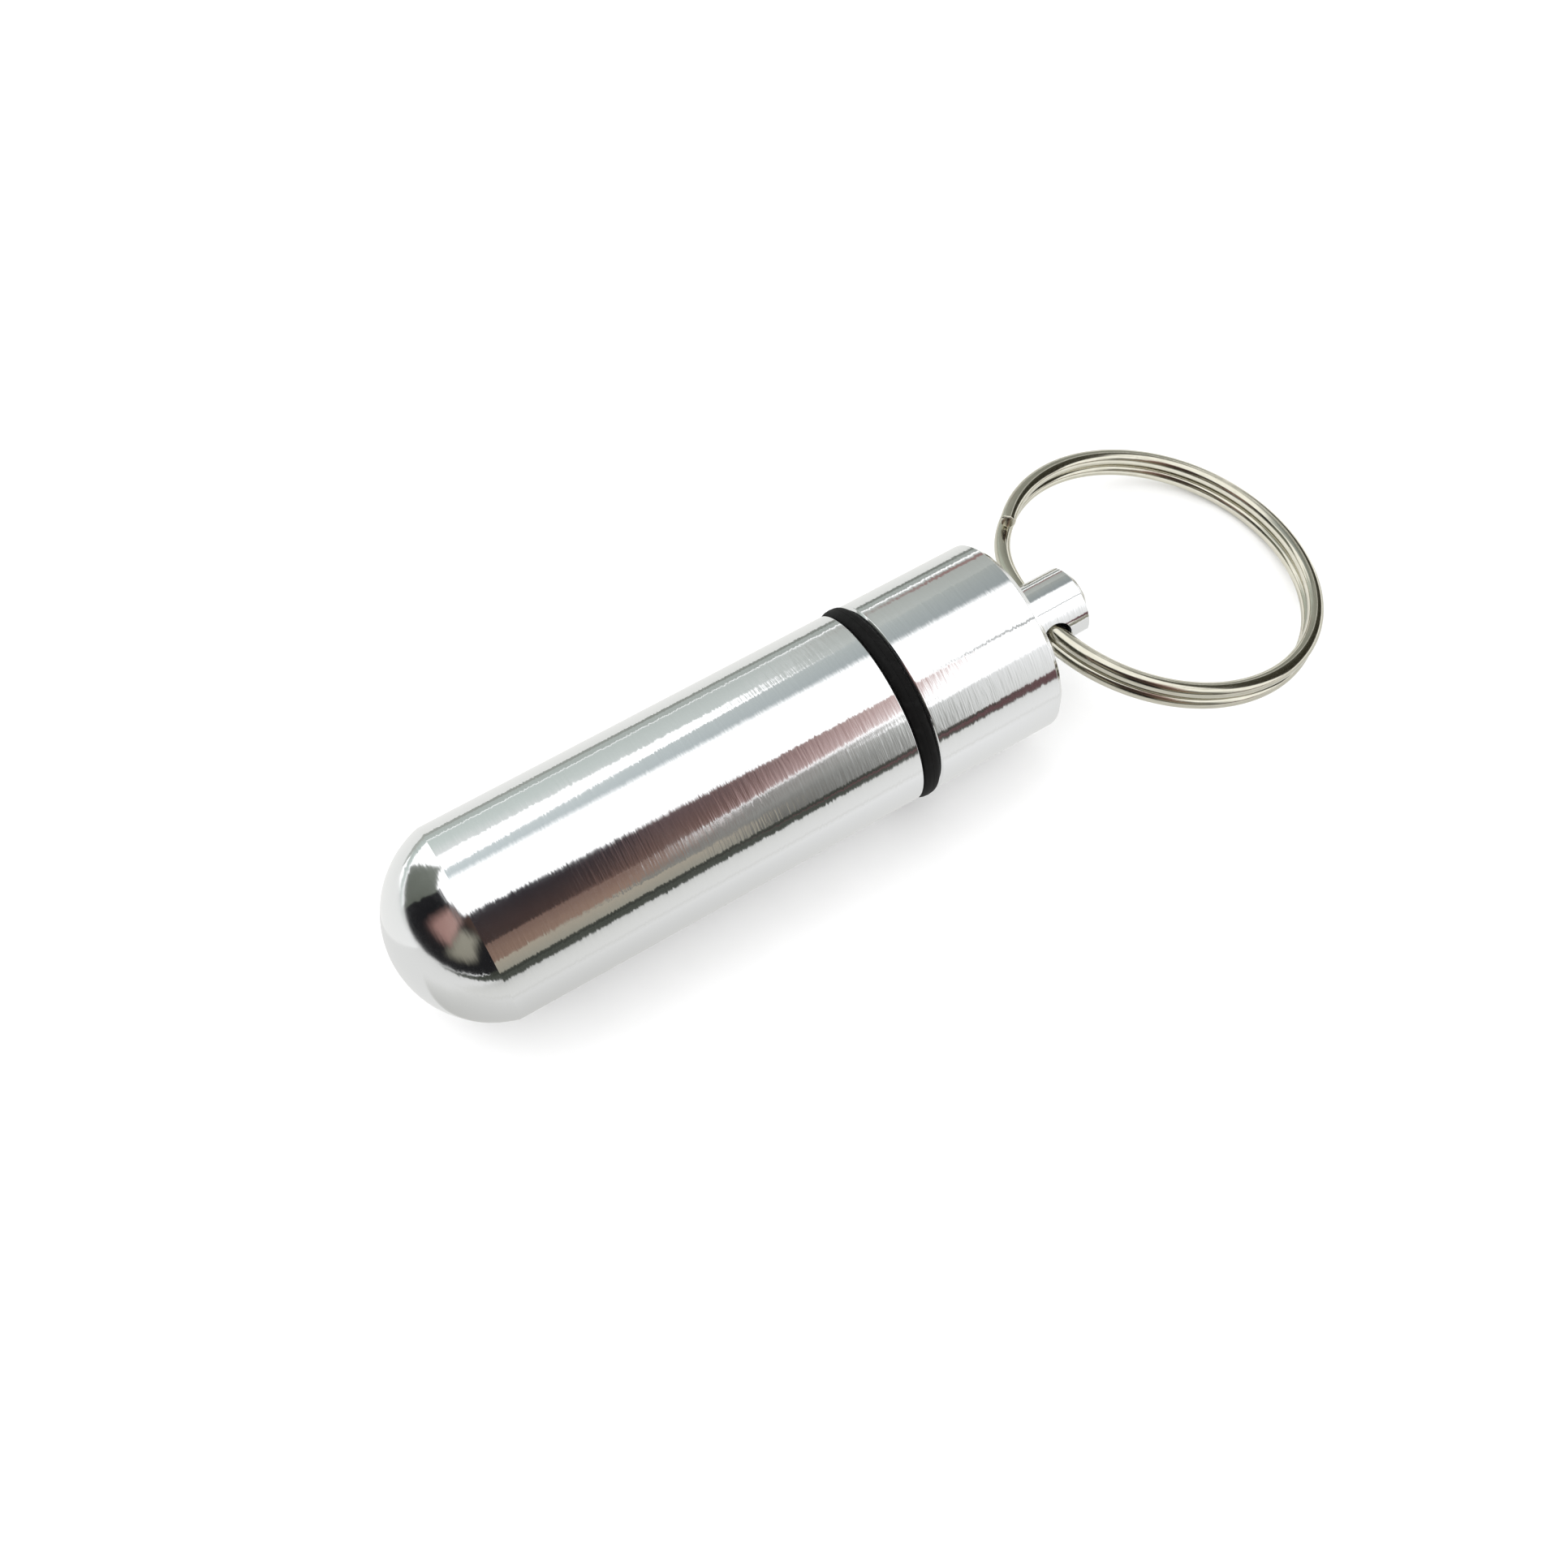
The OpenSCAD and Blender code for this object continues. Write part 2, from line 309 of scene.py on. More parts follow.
    # Each layer of marks with its height in millimetres, and whether it goes into the surface
    for marks, relief, inward in ((feed_marks, 0.004, False), (chatter, 0.006, False), (pits, 0.01, True)):
        normal = add(
            tree,
            "ShaderNodeBump",
            {"Strength": 1.0, "Distance": relief * MM, "Height": marks, "Normal": normal},
            invert=inward,
        ).outputs["Normal"]
    roughness = add(
        tree,
        "ShaderNodeMapRange",
        {"Value": hand_polish, "From Min": 0.3, "From Max": 0.7, "To Min": 0.07, "To Max": 0.12},
    ).outputs["Result"]
    tangent = add(tree, "ShaderNodeTangent", direction_type="RADIAL", axis="X").outputs[0]
    shader = add(
        tree,
        "ShaderNodeBsdfPrincipled",
        {
            "Base Color": linear(colours.aluminium),
            "Metallic": 1.0,
            "Roughness": roughness,
            "Anisotropic": 0.8,
            "Anisotropic Rotation": 0.25,
            "Tangent": tangent,
            "Normal": normal,
        },
    )
    tree.links.new(shader.outputs[0], surface)
    return material


def moulded_rubber():
    """Nitrile rubber, moulded.

    The mould's blasted surface leaves a fine grain, so the seal is matt and only its edges catch light.
    """
    colours = bpy.context.scene.fob_colours
    material, tree, surface = new_material("moulded_nitrile_rubber")
    place = add(tree, "ShaderNodeTexCoord").outputs["Object"]
    # The grain is 0.05 mm, drawn at 0.12 mm so that it shows. Dust lies in patches 0.7 mm wide
    grain_width, dust_width = 0.12 * MM, 0.7 * MM
    grain = add(
        tree, "ShaderNodeTexNoise", {"Vector": place, "Scale": 1 / grain_width, "Detail": 3.0}
    ).outputs["Fac"]
    dust = add(
        tree, "ShaderNodeTexNoise", {"Vector": place, "Scale": 1 / dust_width, "Detail": 4.0}
    ).outputs["Fac"]
    paler = add(
        tree,
        "ShaderNodeMapRange",
        {"Value": dust, "From Min": 0.55, "From Max": 0.75, "To Min": 0.0, "To Max": 0.12},
    ).outputs["Result"]
    tone = add(
        tree,
        "ShaderNodeMix",
        {0: paler, 6: linear(colours.rubber), 7: linear(colours.dusty_rubber)},
        data_type="RGBA",
    ).outputs[2]
    normal = add(
        tree, "ShaderNodeBump", {"Strength": 0.6, "Distance": 0.01 * MM, "Height": grain}
    ).outputs["Normal"]
    shader = add(
        tree,
        "ShaderNodeBsdfPrincipled",
        {"Base Color": tone, "Roughness": 0.7, "IOR": 1.52, "Specular IOR Level": 0.2, "Normal": normal},
    )
    tree.links.new(shader.outputs[0], surface)
    return material


def plated_spring_wire():
    """Nickel-plated spring steel, drawn, rolled flat and barrel polished.

    Drawing leaves long faint lines along the wire, rolling leaves slow waves that bend its reflections, and
    the nickel gives the grey a warm tint.
    """
    colours = bpy.context.scene.fob_colours
    material, tree, surface = new_material("nickel_plated_spring_steel")
    # The wire's own map: millimetres along the wire, and millimetres round its section
    place = add(tree, "ShaderNodeUVMap", uv_map="wire").outputs[0]
    split = add(tree, "ShaderNodeSeparateXYZ", {0: place})

    def streaks(length, width, detail):
        """Noise drawn out along the wire. Each streak is about length long and width wide, in millimetres."""
        along = add(tree, "ShaderNodeMath", {0: split.outputs["X"], 1: 1 / length}, operation="MULTIPLY")
        across = add(tree, "ShaderNodeMath", {0: split.outputs["Y"], 1: 1 / width}, operation="MULTIPLY")
        where = add(tree, "ShaderNodeCombineXYZ", {0: along.outputs[0], 1: across.outputs[0]}).outputs[0]
        return add(
            tree, "ShaderNodeTexNoise", {"Vector": where, "Scale": 1.0, "Detail": detail, "Roughness": 0.55}
        ).outputs["Fac"]

    draw_lines = streaks(length=4.0, width=0.09, detail=3.0)
    rolling_waves = streaks(length=3.5, width=1.8, detail=1.0)
    worn = streaks(length=1.2, width=0.6, detail=4.0)
    line_height, wave_height = 0.0008 * MM, 0.006 * MM
    fine = add(
        tree, "ShaderNodeBump", {"Strength": 1.0, "Distance": line_height, "Height": draw_lines}
    ).outputs["Normal"]
    broad = add(
        tree,
        "ShaderNodeBump",
        {"Strength": 1.0, "Distance": wave_height, "Height": rolling_waves, "Normal": fine},
    ).outputs["Normal"]
    tone = add(
        tree,
        "ShaderNodeMix",
        {0: worn, 6: linear(colours.nickel), 7: linear(colours.worn_nickel)},
        data_type="RGBA",
    ).outputs[2]
    roughness = add(
        tree,
        "ShaderNodeMapRange",
        {"Value": worn, "From Min": 0.3, "From Max": 0.7, "To Min": 0.12, "To Max": 0.18},
    ).outputs["Result"]
    shader = add(
        tree,
        "ShaderNodeBsdfPrincipled",
        {"Base Color": tone, "Metallic": 1.0, "Roughness": roughness, "Normal": broad},
    )
    tree.links.new(shader.outputs[0], surface)
    return material


def floor_paper():
    """White paper with a matt coat, which lies flat and gives the floor an even pale tone."""
    colours = bpy.context.scene.fob_colours
    material, tree, surface = new_material("matt_white_paper")
    place = add(tree, "ShaderNodeTexCoord").outputs["Object"]
    # The fibres lie in flecks 2.5 mm wide
    fleck = 2.5 * MM
    fibres = add(
        tree, "ShaderNodeTexNoise", {"Vector": place, "Scale": 1 / fleck, "Detail": 2.0}
    ).outputs["Fac"]
    tone = add(
        tree,
        "ShaderNodeMix",
        {0: fibres, 6: linear(colours.floor), 7: linear(colours.floor_fibres)},
        data_type="RGBA",
    ).outputs[2]
    shader = add(tree, "ShaderNodeBsdfPrincipled", {"Base Color": tone, "Roughness": 0.95, "IOR": 1.3})
    tree.links.new(shader.outputs[0], surface)
    return material


def card_material(name, soft):
    """A studio card whose tone runs evenly from corner to corner, and whose edges fade.

    soft is the share of the card's half length, and of its half width, over which it fades.
    """
    material, tree, surface = new_material(name)
    place = add(tree, "ShaderNodeTexCoord").outputs["UV"]
    split = add(tree, "ShaderNodeSeparateXYZ", {0: place})
    cover = None
    for side, share in zip(("X", "Y"), soft):
        from_middle = add(tree, "ShaderNodeMath", {0: split.outputs[side], 1: 0.5}, operation="SUBTRACT")
        away = add(tree, "ShaderNodeMath", {0: from_middle.outputs[0]}, operation="ABSOLUTE").outputs[0]
        inside = add(
            tree,
            "ShaderNodeMapRange",
            {"Value": away, "From Min": 0.5 - share / 2, "From Max": 0.5, "To Min": 1.0, "To Max": 0.0},
            interpolation_type="SMOOTHSTEP",
        ).outputs["Result"]
        if cover is not None:
            inside = add(tree, "ShaderNodeMath", {0: cover, 1: inside}, operation="MULTIPLY").outputs[0]
        cover = inside
    clear = add(tree, "ShaderNodeBsdfTransparent").outputs[0]
    shade = add(tree, "ShaderNodeVertexColor", layer_name="tone").outputs["Color"]
    tone = add(tree, "ShaderNodeEmission", {"Color": shade, "Strength": 1.0}).outputs[0]
    shader = add(tree, "ShaderNodeMixShader", {0: cover, 1: clear, 2: tone}).outputs[0]
    tree.links.new(shader, surface)
    return material


# Points nearer than this are one point, and edges shorter than this are taken out
MERGE_DISTANCE = 1e-8
SHORTEST_EDGE = 1e-9
# Edges that turn by more degrees than this are shaded sharp
SHARP_ANGLE = 30


def mesh_object(name, points, faces, material, sharp_angle=SHARP_ANGLE):
    """An object made from points and faces. Doubles are merged, faces turned outwards and shaded smooth."""
    mesh = bpy.data.meshes.new(name)
    mesh.from_pydata(points, [], faces)
    made = bpy.data.objects.new(name, mesh)
    bpy.context.scene.collection.objects.link(made)
    shape = bmesh.new()
    shape.from_mesh(mesh)
    bmesh.ops.remove_doubles(shape, verts=shape.verts, dist=MERGE_DISTANCE)
    bmesh.ops.dissolve_degenerate(shape, edges=shape.edges, dist=SHORTEST_EDGE)
    bmesh.ops.recalc_face_normals(shape, faces=shape.faces)
    shape.to_mesh(mesh)
    shape.free()
    mesh.materials.append(material)
    mesh.shade_smooth()
    mesh.set_sharp_from_angle(angle=radians(sharp_angle))
    return made


def rounded(corners, steps=4):
    """An outline whose corners are rounded. Each corner is (x, radius, rounding)."""
    outline = []
    for i, (x, r, rounding) in enumerate(corners):
        here = Vector((x, r))
        if rounding <= 0 or i in (0, len(corners) - 1):
            outline.append((x, r))
            continue
        before = (Vector(corners[i - 1][:2]) - here).normalized()
        after = (Vector(corners[i + 1][:2]) - here).normalized()
        half = before.angle(after) / 2
        reach = rounding / tan(half)
        middle = here + (before + after).normalized() * (rounding / sin(half))
        start, end = here + before * reach - middle, here + after * reach - middle
        sweep = start.angle(end)
        for k in range(steps + 1):
            share = k / steps
            point = (start * sin((1 - share) * sweep) + end * sin(share * sweep)) / sin(sweep)
            outline.append(tuple(middle + point))
    return outline


# Steps in a full turn of the case, the seal and the cap
TURN_STEPS = 192
# Runs of an outline longer than this get a point this far inside each of their ends
LONG_RUN = 0.5 * MM
SUPPORT_INSET = 0.02 * MM


def supported(outline):
    """An outline with a point just inside each end of its long runs, which shades them dead straight."""
    points = [outline[0]]
    for start, end in zip(outline, outline[1:]):
        start, end = Vector(start), Vector(end)
        length = (end - start).length
        if length > LONG_RUN:
            step = (end - start) * (SUPPORT_INSET / length)
            points += [tuple(start + step), tuple(end - step)]
        points.append(tuple(end))
    return points


def round_pill(x, r, a):
    """A point at a radius from the pill's axis and an angle round it."""
    return x, r * cos(a), AXIS_HEIGHT + r * sin(a)


def turned_rings(outline):
    """Rings of points that turn an outline of (x, radius) round the pill's axis."""
    angles = [FULL_TURN * k / TURN_STEPS for k in range(TURN_STEPS + 1)]
    return [[round_pill(x, r, a) for a in angles] for x, r in supported(outline)]


def thread_rise(x, turn, sizes):
    """Share of the thread's depth at a place along the pill, on a right-hand helix about +X."""
    t = (x - CAP_MOUTH) / sizes.pitch - turn
    from_crest = abs(t - floor(t) - 0.5) * sizes.pitch
    flank = sizes.depth * tan(sizes.flank_angle)
    return max(0.0, min(1.0, (sizes.crest / 2 + flank - from_crest) / flank))


def thread_rings(start, end, radius_at, sizes):
    """Rings that follow the helix from start to end. Their ends are trimmed square to the axis."""
    flank = sizes.depth * tan(sizes.flank_angle)
    root = sizes.pitch - sizes.crest - 2 * flank
    stops = [0.0]
    # The thread's profile over one pitch, with the number of parts that each stretch is drawn in
    for width, parts in ((root / 2, 1), (flank, 3), (sizes.crest, 1), (flank, 3), (root / 2, 1)):
        stops += [stops[-1] + width * (i + 1) / parts for i in range(parts)]
    stops = stops[:-1]
    # Spare turns past both ends, which the trim flattens
    spare = 2
    first = floor((start - CAP_MOUTH) / sizes.pitch) - spare
    last = floor((end - CAP_MOUTH) / sizes.pitch) + spare
    rings = []
    for turn_number in range(first, last):
        for stop in stops:
            ring = []
            for k in range(TURN_STEPS + 1):
                turn = k / TURN_STEPS
                x = CAP_MOUTH + (turn_number + turn) * sizes.pitch + stop
                x = max(start, min(end, x))
                ring.append(round_pill(x, radius_at(x, turn), FULL_TURN * turn))
            rings.append(ring)
    return rings


def skin(rings, capped=False):
    """Points and faces that join each ring to the next, with a face over each end if capped."""
    count = len(rings[0])
    points = [p for ring in rings for p in ring]
    faces = []
    for i in range(len(rings) - 1):
        for k in range(count - 1):
            a, b = i * count + k, (i + 1) * count + k
            faces.append((a, a + 1, b + 1, b))
    if capped:
        for first in (0, (len(rings) - 1) * count):
            faces.append(tuple(range(first, first + count - 1)))
    return points, faces


def smooth_share(value):
    """0 below 0, 1 above 1, and a smooth step between."""
    v = max(0.0, min(1.0, value))
    return v * v * (3 - 2 * v)


class FOB_OT_stage(bpy.types.Operator):
    """Set up the camera, the floor, the light and the studio cards"""

    bl_idname = "fob.stage"
    bl_label = "Stage"
    bl_options = {"REGISTER", "UNDO"}

    # Polished metal shows only what is round it, so these cards give it soft bands of grey, rose and brown.
    # The first ones lie level. Each has its name, its height in mm, four corners (x, y) in mm, an sRGB tone
    # for each corner, and the shares of its half length and its half width over which it fades.
    LEVEL = (
        ("charcoal_card", 113, ((-60, -8), (-5, -37), (-5, -128), (-60, -150)),
         ("#2A2A2F", "#302E33", "#4A3A36", "#2C2826"), (0.1, 0.12)),
        ("brown_card", 114, ((-12, -40), (16, -50), (16, -142), (-12, -140)),
         ("#524749", "#745E5E", "#775C52", "#5E4A44"), (0.3, 0.12)),
        ("rose_card", 115, ((7, -44), (45, -47), (45, -106), (7, -150)),
         ("#60403C", "#E6CCC8", "#E2C6C3", "#6C4C47"), (0.2, 0.15)),
        ("grey_low_card", 116, ((17, -132), (52, -104), (56, -420), (17, -420)),
         ("#807D79", "#ACAAA6", "#8C8D89", "#6E6D69"), (0.25, 0.12)),
        ("warm_card", 118, ((-110, -20), (12, -38), (26, -300), (-110, -560)),
         ("#382B28", "#6A5453", "#A08474", "#4A3731"), (0.06, 0.1)),
        ("cap_line_card", 115, ((40, -40), (110, -43), (110, -53), (40, -49)),
         ("#B4B6B5", "#A9ABAA", "#A9ABAA", "#B4B6B5"), (0.2, 0.7)),
        ("blue_card", 115, ((-60, 44), (120, 37), (120, 190), (-60, 62)),
         ("#DAE4E6", "#5E6262", "#9FA29C", "#DEE6E8"), (0.02, 0.3)),
        ("far_floor_card", 0.3, ((-200, 7.4), (60, 7.4), (60, 46), (-200, 46)),
         ("#FFFFFF", "#F0F0EC", "#E4E5E0", "#FFFFFF"), (0.02, 0.04)),
        ("far_edge_card", 0.3, ((-60, 45), (60, 45), (90, 76), (-60, 76)),
         ("#B4B8B2", "#454A40", "#454A40", "#B4B8B2"), (0.02, 0.15)),
        ("far_ground_card", 0.2, ((-200, 66), (90, 66), (300, 1400), (-300, 1400)),
         ("#D1DCD7", "#A0A49F", "#A0A49F", "#D1DCD7"), (0.02, 0.02)),
        # Painted shadow: the floor as reflections see it, darker along the pill where its contact shadow
        # lies, and darker to the left under the camera's shadow
        ("near_floor_shadow_card", 0.3, ((-54, -3.5), (26, -3.5), (26, -19), (-54, -19)),
         ("#B8B8B4", "#E8E8E6", "#FFFFFF", "#DCDCD9"), (0.5, 0.1)),
        # Painted shadow: the floor further out as reflections see it, darker to the left where the camera's
        # shadow falls on it
        ("near_floor_far_shadow_card", 0.3, ((-66, -17), (66, -17), (66, -80), (-66, -80)),
         ("#D9D9D5", "#FFFFFF", "#E4E4E2", "#A8A8A5"), (0.3, 0.15)),
        ("near_edge_card", 0.35, ((-300, -58), (60, -58), (260, -1400), (-300, -1400)),
         ("#383B34", "#4F524C", "#4F524C", "#30332C"), (0.02, 0.03)),
        ("near_red_card", 0.4, ((22, -60), (400, -60), (900, -1400), (120, -1400)),
         ("#644C4D", "#8C5F64", "#8C5F64", "#644C4D"), (0.05, 0.03)),
        # Painted shadow: the floor under the other floor cards as reflections see it, darker to the left
        # where the camera's shadow falls on it
        ("near_ground_shadow_card", 0.2, ((-60, -3.5), (70, -3.5), (70, -90), (-60, -90)),
         ("#D2D2CE", "#F2F2F0", "#E4E4E2", "#C4C4C1"), (0.4, 0.02)),
        ("nose_floor_card", 0.1, ((-900, 500), (-28, 30), (-28, -90), (-900, -700)),
         ("#F0F0EE", "#EAEAE8", "#E2E2E0", "#F0F0EE"), (0.02, 0.02)),
    )
    # The others stand round the pill. Each has its name, its distance in mm, four corners (azimuth from +Y
    # towards +X, elevation) in degrees, and the same tones and shares.
    AROUND = (
        ("far_card", 500, ((-14, -0.5), (15, -0.5), (15, 31), (-14, 31)),
         ("#D1DCD7", "#BCC2BE", "#CDD3D0", "#FFFFFF"), (0.05, 0.2)),
        ("far_right_card", 480, ((14, -0.5), (62, -0.5), (62, 42), (14, 38)),
         ("#B2B5B0", "#7C7F7A", "#AFB1AB", "#C5CBC8"), (0.08, 0.2)),
        ("far_red_strip", 440, ((17, 4), (44, 4), (44, 10), (17, 10)),
         ("#9A807C", "#844644", "#844644", "#9A807C"), (0.3, 0.5)),
        ("near_grey_card", 415, ((171, -0.5), (161, -0.5), (160, 34), (170, 34)),
         ("#484644", "#A2A39F", "#A8A9A5", "#92918C"), (0.14, 0.15)),
        ("near_pale_card", 418, ((162, -0.5), (150, -0.5), (150, 34), (161, 34)),
         ("#DADBD8", "#F0F0EE", "#FFFFFF", "#C8CAC7"), (0.15, 0.15)),
        ("near_beige_card", 430, ((215, 0), (166, 0), (166, 22), (215, 24)),
         ("#878377", "#9D9D92", "#B8AD9C", "#9A9589"), (0.1, 0.15)),
        ("near_edge_strip", 400, ((215, -4), (158, -4), (158, 3), (215, 4)),
         ("#2D3029", "#3C3F39", "#464843", "#383B34"), (0.05, 0.35)),
        ("near_red_strip", 395, ((160, -4), (140, -4), (140, 3), (160, 3)),
         ("#644C4D", "#8C5F64", "#8C5F64", "#644C4D"), (0.1, 0.5)),
        ("side_dark_card", 430, ((-161, -1), (-118, -1), (-118, 50), (-161, 44)),
         ("#1E1E20",) * 4, (0.06, 0.08)),
        ("nose_dark_card", 430, ((-126, -1), (-76, -1), (-76, 50), (-126, 52)),
         ("#1E1E20",) * 4, (0.06, 0.08)),
        ("side_right_dark_card", 430, ((-84, -1), (-57, -1), (-57, 44), (-84, 50)),
         ("#1E1E20",) * 4, (0.06, 0.08)),
        ("side_grey_card", 400, ((-62, -1), (-33, -1), (-33, 38), (-62, 42)),
         ("#5C6058", "#6C7169", "#7F847C", "#6A6E66"), (0.1, 0.15)),
        ("side_beige_card", 335, ((-139, 7), (-104, 7), (-104, 44), (-139, 42)),
         ("#928E81", "#878375", "#9F9C8E", "#9F9C8E"), (0.7, 0.6)),
        ("side_pink_card", 325, ((-116, 15), (-76, 15), (-76, 50), (-116, 50)),
         ("#AB8981", "#87645F", "#AB8981", "#BEA39C"), (0.7, 0.6)),
        ("ring_olive_card", 420, ((62, -1), (126, -1), (126, 44), (62, 44)),
         ("#38372C", "#2C2B23", "#45433A", "#5A5A50"), (0.15, 0.2)),
    )

    def execute(self, context):
        settings = context.scene.fob_stage
        self.camera(context, settings)
        self.floor(settings)
        self.light(context, settings)
        for name, height, corners, tones, soft in self.LEVEL:
            self.card(context, name, [Vector((x, y, height)) * MM for x, y in corners], tones, soft)
        for name, distance, corners, tones, soft in self.AROUND:
            self.card(context, name, [self.around(distance * MM, a, e) for a, e in corners], tones, soft)
        context.scene.view_settings.view_transform = "Standard"
        return {"FINISHED"}

    def camera(self, context, settings):
        """The camera at the photograph's viewing angle."""
        data = bpy.data.cameras.new("camera")
        data.sensor_width = 36.0
        data.lens = settings.focal_length
        data.clip_start = 1 * MM
        data.clip_end = 20.0
        made = bpy.data.objects.new("camera", data)
        turn = Matrix.Rotation(settings.camera_azimuth, 4, "Z")
        tilt = Matrix.Rotation(pi / 2 - settings.camera_elevation, 4, "X")
        roll = Matrix.Rotation(settings.camera_roll, 4, "Z")
        made.matrix_world = Matrix.Translation(settings.camera_place) @ turn @ tilt @ roll
        context.scene.collection.objects.link(made)
        context.scene.camera = made

    def floor(self, settings):
        """A plain pale floor that the fob lies on."""
        half = settings.floor_size / 2
        corners = [(-half, -half, 0), (half, -half, 0), (half, half, 0), (-half, half, 0)]
        made = mesh_object("floor", corners, [(0, 1, 2, 3)], floor_paper())

    def light(self, context, settings):
        """A white room and one large soft light overhead."""
        world = bpy.data.worlds.new("white_room")
        world.use_nodes = True
        tree = world.node_tree
        tree.nodes.clear()
        sky = add(tree, "ShaderNodeBackground", {"Color": (1.0, 1.0, 1.0, 1.0), "Strength": settings.sky})
        out = add(tree, "ShaderNodeOutputWorld")
        tree.links.new(sky.outputs[0], out.inputs["Surface"])
        context.scene.world = world
        data = bpy.data.lights.new("soft_light", "AREA")
        data.shape = "DISK"
        data.size = settings.light_size
        data.energy = settings.light_power
        made = bpy.data.objects.new("soft_light", data)
        made.location = settings.light_place
        made.rotation_euler = (-Vector(made.location)).to_track_quat("-Z", "Y").to_euler()
        made.visible_camera = False
        made.visible_glossy = False
        context.scene.collection.objects.link(made)

    def around(self, distance, azimuth, elevation):
        """A place round the pill's middle, from its azimuth and elevation in degrees."""
        a, e = radians(azimuth), radians(elevation)
        return Vector((0, 0, AXIS_HEIGHT)) + distance * Vector((sin(a) * cos(e), cos(a) * cos(e), sin(e)))

    def card(self, context, name, corners, tones, soft):
        """A card between four corners. Only reflections see it."""
        mesh = bpy.data.meshes.new(name)
        mesh.from_pydata([tuple(c) for c in corners], [], [(0, 1, 2, 3)])
        mesh.materials.append(card_material(name, soft))
        layer = mesh.uv_layers.new(name="card")
        for loop, place in zip(layer.data, ((0, 0), (1, 0), (1, 1), (0, 1))):
            loop.uv = place
        shades = mesh.color_attributes.new("tone", "FLOAT_COLOR", "POINT")
        for point, tone in zip(shades.data, tones):
            point.color = linear(tone)
        made = bpy.data.objects.new(name, mesh)
        made.visible_camera = False
        made.visible_diffuse = False
        made.visible_shadow = False
        context.scene.collection.objects.link(made)


class FOB_OT_case(bpy.types.Operator):
    """Turn the case: its nose, barrel, shoulder, threaded neck and drilled bore"""

    bl_idname = "fob.case"
    bl_label = "Case"
    bl_options = {"REGISTER", "UNDO"}

    def execute(self, context):
        pill, thread = context.scene.fob_pill, context.scene.fob_thread
        radius, edge = PILL_RADIUS, pill.edge_radius
        nose_radius = (radius**2 + pill.nose_length**2) / (2 * pill.nose_length)
        nose_sweep = acos((nose_radius - pill.nose_length) / nose_radius)
        nose_steps = 48  # sections along the nose
        nose = []
        for i in range(nose_steps + 1):
            a = nose_sweep * i / nose_steps
            nose.append((NOSE_TIP + nose_radius * (1 - cos(a)), nose_radius * sin(a)))
        shoulder = NOSE_TIP + pill.shoulder
        barrel = rounded(
            [
                (NOSE_TIP + pill.nose_length, radius, 0),
                (shoulder - pill.edge_bevel, radius, edge),
                (shoulder, radius - pill.edge_bevel, edge),
                (shoulder, pill.neck_radius, 0),
            ]
        )
        thread_start = shoulder + thread.start
        thread_end = NECK_END - pill.neck_bevel

        def neck(x, turn):
            """The neck's radius with its thread, which fades in and is cut by the end bevel."""
            fade = smooth_share((x - thread_start) / thread.run_out)
            r = pill.neck_radius + thread.depth * thread_rise(x, turn, thread) * fade
            return min(r, pill.neck_radius + thread_end - x)

        mouth = rounded(
            [
                (thread_end, pill.neck_radius, 0),
                (NECK_END, pill.neck_radius - pill.neck_bevel, edge),
                (NECK_END, pill.bore_radius + edge, 0),
                (NECK_END - edge, pill.bore_radius, 0),
                (
                    NOSE_TIP + pill.bore_point + pill.bore_radius / tan(pill.drill_angle / 2),
                    pill.bore_radius,
                    0,
                ),
                (NOSE_TIP + pill.bore_point, 0, 0),
            ]
        )
        rings = turned_rings(nose + barrel)
        rings += thread_rings(thread_start, thread_end, neck, thread)
        rings += turned_rings(mouth)
        # The nose meets the barrel at an edge of about 15 degrees, which is shaded crisp
        made = mesh_object("pill_case", *skin(rings), turned_aluminium(), sharp_angle=13)
        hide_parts("case_body")
        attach(made, "case")
        return {"FINISHED"}


class FOB_OT_seal(bpy.types.Operator):
    """Mould the rubber seal that is pinched between the case and the cap"""

    bl_idname = "fob.seal"
    bl_label = "Seal"
    bl_options = {"REGISTER", "UNDO"}

    def execute(self, context):
        seal = context.scene.fob_seal
        low, high = SEAL_LOW[0], SEAL_HIGH[0]
        middle = (low + high) / 2
        line = seal.mould_line
        outer = SEAL_RADIUS - line
        outline = rounded(
            [
                (low, seal.inner_radius, 0),
                (low, outer, seal.edge_radius),
                (middle - 2 * line, outer, 0),
                (middle - line, outer + line, 0),
                (middle + line, outer + line, 0),
                (middle + 2 * line, outer, 0),
                (high, outer, seal.edge_radius),
                (high, seal.inner_radius, 0),
                (low, seal.inner_radius, 0),
            ],
            steps=8,
        )
        made = mesh_object("rubber_seal", *skin(turned_rings(outline)), moulded_rubber())
        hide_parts("o_ring")
        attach(made, "seal")
        return {"FINISHED"}


